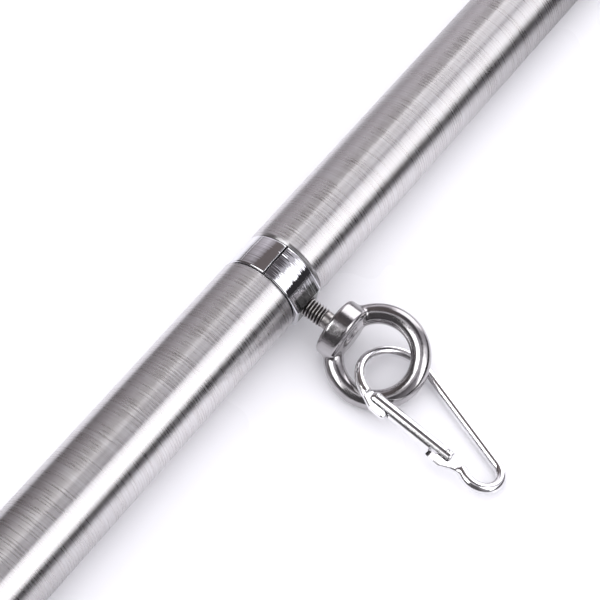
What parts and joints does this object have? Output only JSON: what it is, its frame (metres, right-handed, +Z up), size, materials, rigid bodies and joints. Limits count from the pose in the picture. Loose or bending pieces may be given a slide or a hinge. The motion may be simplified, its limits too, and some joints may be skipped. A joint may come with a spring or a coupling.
{
  "type": "spreader beam",
  "caption": "Round tubular spreader bar with a screwed middle joint, and swivel collars that carry eye bolts and snap hooks.",
  "frame": {"origin": "middle of the bar's length, on the axis of the tubes", "axes": "+X along the bar, +Z up; the eyes and snap hooks lie on the -Y side, and the bar lies on a surface at Z = -12.5 mm"},
  "size_m": [0.6214, 0.1002, 0.025],
  "materials": {
    "tube_steel": "satin brushed round the tube",
    "collar_chrome": "mirror chrome",
    "eye_steel": "polished stainless",
    "hook_nickel": "bright nickel plate",
    "inner_steel": "turned",
    "spring_steel": "plain spring wire"
  },
  "bodies": {
    "bar": {"left_tube": "tube_steel", "left_inner_insert": "inner_steel", "left_outer_insert": "inner_steel", "left_end_cap": "tube_steel", "right_tube": "tube_steel", "right_inner_insert": "inner_steel", "right_outer_insert": "inner_steel", "right_end_cap": "tube_steel", "left_spool": "inner_steel", "centre_spool": "inner_steel", "right_spool": "inner_steel"},
    "left_collar": {"left_collar_front": "collar_chrome", "left_collar_back": "collar_chrome"},
    "left_eye": {"left_eye_bolt": "eye_steel"},
    "left_hook": {"left_hook_body": "hook_nickel"},
    "left_gate": {"left_hook_gate": "hook_nickel", "left_hinge_rivet": "hook_nickel", "left_catch_pin": "hook_nickel", "left_gate_plunger": "spring_steel", "left_gate_spring": "spring_steel"},
    "centre_collar": {"centre_collar_front": "collar_chrome", "centre_collar_back": "collar_chrome"},
    "centre_eye": {"centre_eye_bolt": "eye_steel"},
    "centre_hook": {"centre_hook_body": "hook_nickel"},
    "centre_gate": {"centre_hook_gate": "hook_nickel", "centre_hinge_rivet": "hook_nickel", "centre_catch_pin": "hook_nickel", "centre_gate_plunger": "spring_steel", "centre_gate_spring": "spring_steel"},
    "right_collar": {"right_collar_front": "collar_chrome", "right_collar_back": "collar_chrome"},
    "right_eye": {"right_eye_bolt": "eye_steel"},
    "right_hook": {"right_hook_body": "hook_nickel"},
    "right_gate": {"right_hook_gate": "hook_nickel", "right_hinge_rivet": "hook_nickel", "right_catch_pin": "hook_nickel", "right_gate_plunger": "spring_steel", "right_gate_spring": "spring_steel"}
  },
  "joints": [
    {"name": "left_collar_turn", "type": "hinge", "parent": "bar", "child": "left_collar", "pos_m": [-0.2918, 0, 0], "axis": [1, 0, 0], "continuous": true},
    {"name": "left_eye_turn", "type": "hinge", "parent": "left_collar", "child": "left_eye", "pos_m": [-0.2918, -0.01983, -0.00261], "axis": [0, -0.9914, -0.1305], "range_deg": [-180, 180]},
    {"name": "left_hook_slide_round", "type": "hinge", "parent": "left_eye", "child": "left_hook", "pos_m": [-0.2918, -0.03738, -0.00492], "axis": [-0.342, -0.1227, 0.9317], "range_deg": [-55, 95]},
    {"name": "left_gate_open", "type": "hinge", "parent": "left_hook", "child": "left_gate", "pos_m": [-0.30338, -0.04536, -0.00448], "axis": [0.2708, -0.1171, 0.9555], "range_deg": [0, 16], "stiffness_Nm_per_rad": 0.15, "springref_deg": -20.05},
    {"name": "centre_collar_turn", "type": "hinge", "parent": "bar", "child": "centre_collar", "pos_m": [0, 0, 0], "axis": [1, 0, 0], "continuous": true},
    {"name": "centre_eye_turn", "type": "hinge", "parent": "centre_collar", "child": "centre_eye", "pos_m": [0, -0.01983, -0.00261], "axis": [0, -0.9914, -0.1305], "range_deg": [-180, 180]},
    {"name": "centre_hook_slide_round", "type": "hinge", "parent": "centre_eye", "child": "centre_hook", "pos_m": [0, -0.03738, -0.00492], "axis": [-0.342, -0.1227, 0.9317], "range_deg": [-55, 95]},
    {"name": "centre_gate_open", "type": "hinge", "parent": "centre_hook", "child": "centre_gate", "pos_m": [-0.01158, -0.04536, -0.00448], "axis": [0.2708, -0.1171, 0.9555], "range_deg": [0, 16], "stiffness_Nm_per_rad": 0.15, "springref_deg": -20.05},
    {"name": "right_collar_turn", "type": "hinge", "parent": "bar", "child": "right_collar", "pos_m": [0.2918, 0, 0], "axis": [1, 0, 0], "continuous": true},
    {"name": "right_eye_turn", "type": "hinge", "parent": "right_collar", "child": "right_eye", "pos_m": [0.2918, -0.01983, -0.00261], "axis": [0, -0.9914, -0.1305], "range_deg": [-180, 180]},
    {"name": "right_hook_slide_round", "type": "hinge", "parent": "right_eye", "child": "right_hook", "pos_m": [0.2918, -0.03738, -0.00492], "axis": [-0.342, -0.1227, 0.9317], "range_deg": [-55, 95]},
    {"name": "right_gate_open", "type": "hinge", "parent": "right_hook", "child": "right_gate", "pos_m": [0.28022, -0.04536, -0.00448], "axis": [0.2708, -0.1171, 0.9555], "range_deg": [0, 16], "stiffness_Nm_per_rad": 0.15, "springref_deg": -20.05}
  ]
}
